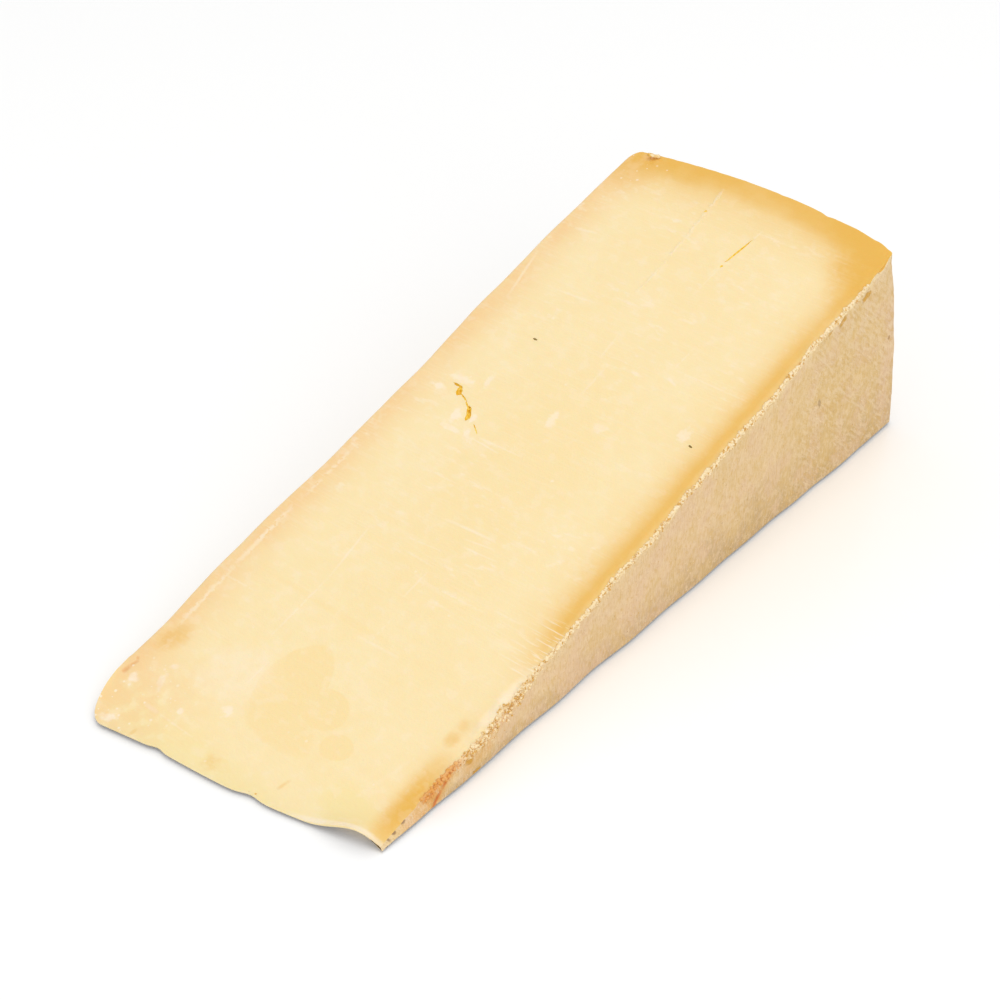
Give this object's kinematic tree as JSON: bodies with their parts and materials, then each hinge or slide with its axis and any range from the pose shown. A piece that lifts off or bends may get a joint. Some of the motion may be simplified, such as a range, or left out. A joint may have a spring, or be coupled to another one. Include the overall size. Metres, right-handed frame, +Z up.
{
  "type": "wedge of mountain cheese",
  "caption": "Long narrow wedge cut from a tall wheel of hard mountain cheese, lying on a cut face, with rind on both sides and at its heel and a thin tip",
  "frame": {"origin": "middle of the wedge's box, on the surface that it lies on", "axes": "+Y from the thin tip to the heel, +X across the wheel's height from the left rind face to the right one, +Z up"},
  "size_m": [0.1124, 0.2954, 0.0826],
  "materials": {
    "cheese": "smooth waxy pale yellow cut paste, honey coloured towards the rind, with a rough dry beige rind"
  },
  "bodies": {
    "root": {"cheese_wedge": "cheese"}
  },
  "joints": []
}
